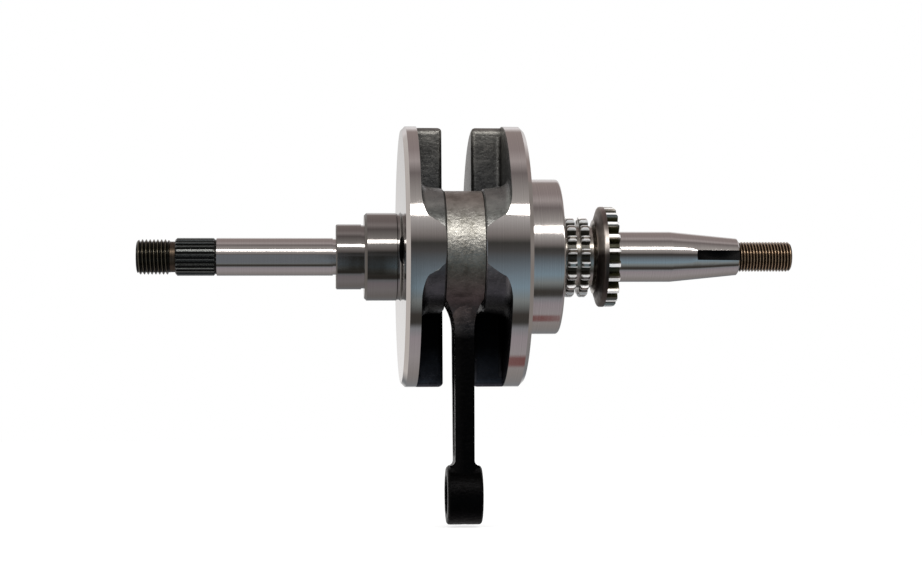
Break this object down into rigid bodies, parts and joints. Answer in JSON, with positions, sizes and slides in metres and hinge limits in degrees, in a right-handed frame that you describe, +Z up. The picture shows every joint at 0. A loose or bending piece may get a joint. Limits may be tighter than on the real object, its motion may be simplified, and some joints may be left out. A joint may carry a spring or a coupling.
{
  "type": "crankshaft",
  "caption": "Built-up single-throw crankshaft with round webs, a hanging connecting rod, a ball bearing, chain and gear teeth, a splined end and a tapered end.",
  "frame": {"origin": "on the crank's axis, in the middle of the right main bearing", "axes": "+X along the crank's axis towards the tapered end, +Z up with the rod hanging down, crankpin towards -Y"},
  "size_m": [0.2623, 0.104, 0.1573],
  "materials": {
    "crank_steel": "ground and turned, forged black on the counterweights",
    "pin_steel": "ground",
    "rod_forging": "forged and blackened",
    "roller_cage": "satin",
    "rolling_steel": "polished",
    "bearing_steel": "ground",
    "ball_cage": "pressed sheet",
    "drive_steel": "hobbed and hardened"
  },
  "bodies": {
    "crank": {"left_crank_half": "crank_steel", "right_crank_half": "crank_steel", "crankpin": "pin_steel", "main_bearing_inner_race": "bearing_steel", "timing_sprocket": "drive_steel", "pump_drive_gear": "drive_steel"},
    "rod": {"connecting_rod": "rod_forging"},
    "roller_cage": {"big_end_cage": "roller_cage", "big_end_roller_1": "rolling_steel", "big_end_roller_2": "rolling_steel", "big_end_roller_3": "rolling_steel", "big_end_roller_4": "rolling_steel", "big_end_roller_5": "rolling_steel", "big_end_roller_6": "rolling_steel", "big_end_roller_7": "rolling_steel", "big_end_roller_8": "rolling_steel", "big_end_roller_9": "rolling_steel", "big_end_roller_10": "rolling_steel", "big_end_roller_11": "rolling_steel", "big_end_roller_12": "rolling_steel", "big_end_roller_13": "rolling_steel", "big_end_roller_14": "rolling_steel", "big_end_roller_15": "rolling_steel", "big_end_roller_16": "rolling_steel", "big_end_roller_17": "rolling_steel", "big_end_roller_18": "rolling_steel"},
    "bearing_ring": {"main_bearing_outer_race": "bearing_steel"},
    "ball_cage": {"main_bearing_cage_left": "ball_cage", "main_bearing_cage_right": "ball_cage", "main_bearing_cage_rivets": "ball_cage", "main_bearing_ball_1": "rolling_steel", "main_bearing_ball_2": "rolling_steel", "main_bearing_ball_3": "rolling_steel", "main_bearing_ball_4": "rolling_steel", "main_bearing_ball_5": "rolling_steel", "main_bearing_ball_6": "rolling_steel", "main_bearing_ball_7": "rolling_steel", "main_bearing_ball_8": "rolling_steel", "main_bearing_ball_9": "rolling_steel", "main_bearing_ball_10": "rolling_steel", "main_bearing_ball_11": "rolling_steel"}
  },
  "joints": [
    {"name": "rod_swing", "type": "hinge", "parent": "crank", "child": "rod", "pos_m": [-0.0332, -0.0289, 0], "axis": [1, 0, 0], "continuous": true},
    {"name": "roller_cage_turn", "type": "hinge", "parent": "crank", "child": "roller_cage", "pos_m": [-0.0332, -0.0289, 0], "axis": [1, 0, 0], "continuous": true},
    {"name": "bearing_ring_turn", "type": "hinge", "parent": "crank", "child": "bearing_ring", "pos_m": [0, 0, 0], "axis": [1, 0, 0], "continuous": true},
    {"name": "ball_cage_turn", "type": "hinge", "parent": "crank", "child": "ball_cage", "pos_m": [0, 0, 0], "axis": [1, 0, 0], "continuous": true}
  ],
  "couplings": [
    {"joint": "roller_cage_turn", "follows": "rod_swing", "ratio": 0.55882},
    {"joint": "ball_cage_turn", "follows": "bearing_ring_turn", "ratio": 0.58186}
  ]
}
